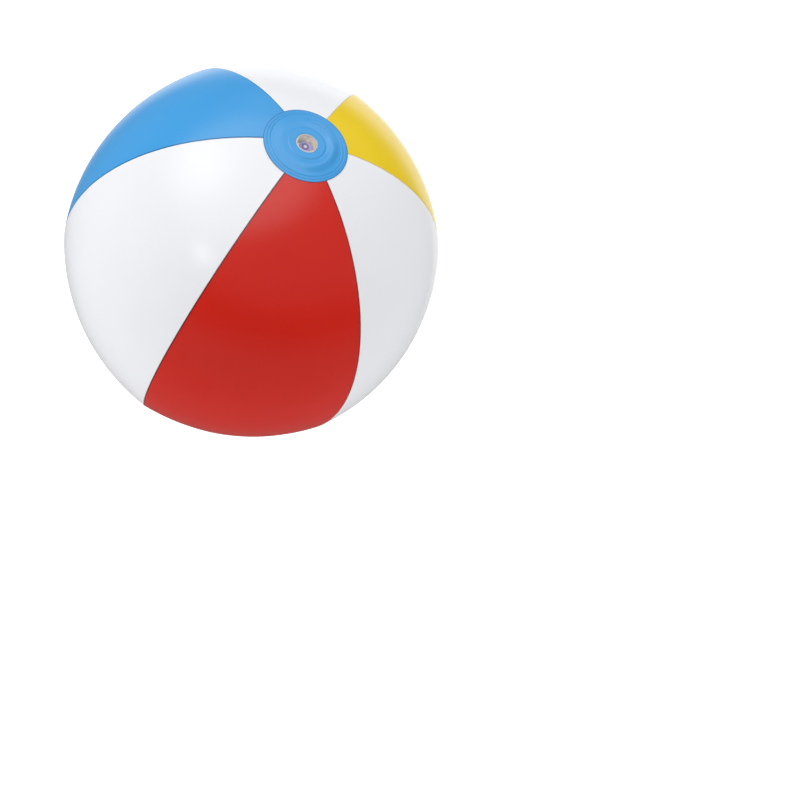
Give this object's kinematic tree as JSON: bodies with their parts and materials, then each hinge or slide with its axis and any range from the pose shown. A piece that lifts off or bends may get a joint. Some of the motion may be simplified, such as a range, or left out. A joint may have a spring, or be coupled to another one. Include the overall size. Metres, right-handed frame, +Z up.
{
  "type": "inflatable beach ball",
  "caption": "Inflated vinyl beach ball of six coloured panels and two end discs, with a push-in air valve and a tethered cap.",
  "frame": {"origin": "bottom centre: the centre of the base end disc's flat circle, on which the ball rests", "axes": "+Z up along the pole axis, from the base end disc to the valve; -Y is the middle of the red panel"},
  "size_m": [0.36, 0.36, 0.359],
  "materials": {
    "red_vinyl": "gloss calendered vinyl film",
    "white_vinyl": "gloss calendered vinyl film",
    "blue_vinyl": "gloss calendered vinyl film",
    "yellow_vinyl": "gloss calendered vinyl film",
    "clear_vinyl": "soft moulded clear vinyl"
  },
  "bodies": {
    "envelope": {"panel_red": "red_vinyl", "panel_white_right": "white_vinyl", "panel_yellow": "yellow_vinyl", "panel_white_back": "white_vinyl", "panel_blue": "blue_vinyl", "panel_white_left": "white_vinyl", "valve_end_disc": "blue_vinyl", "base_end_disc": "blue_vinyl", "valve_mounting_ring": "clear_vinyl", "valve_skirt": "clear_vinyl"},
    "valve_stem": {"valve_stem": "clear_vinyl", "cap_strap": "clear_vinyl"},
    "valve_cap": {"valve_cap": "clear_vinyl"},
    "check_flap": {"check_flap": "clear_vinyl"}
  },
  "joints": [
    {"name": "valve_pull", "type": "slide", "parent": "envelope", "child": "valve_stem", "axis": [0, 0, 1], "range_m": [0, 0.02], "deforming": ["valve_skirt"]},
    {"name": "cap_hinge", "type": "hinge", "parent": "valve_stem", "child": "valve_cap", "pos_m": [-0.007, 0, 0.35334], "axis": [0, -1, 0], "range_deg": [0, 80], "deforming": ["cap_strap"]},
    {"name": "flap_swing", "type": "hinge", "parent": "valve_stem", "child": "check_flap", "pos_m": [0.0051, 0, 0.33649], "axis": [0, -1, 0], "range_deg": [0, 70], "stiffness_Nm_per_rad": 0.00002, "springref_deg": -17.19}
  ]
}
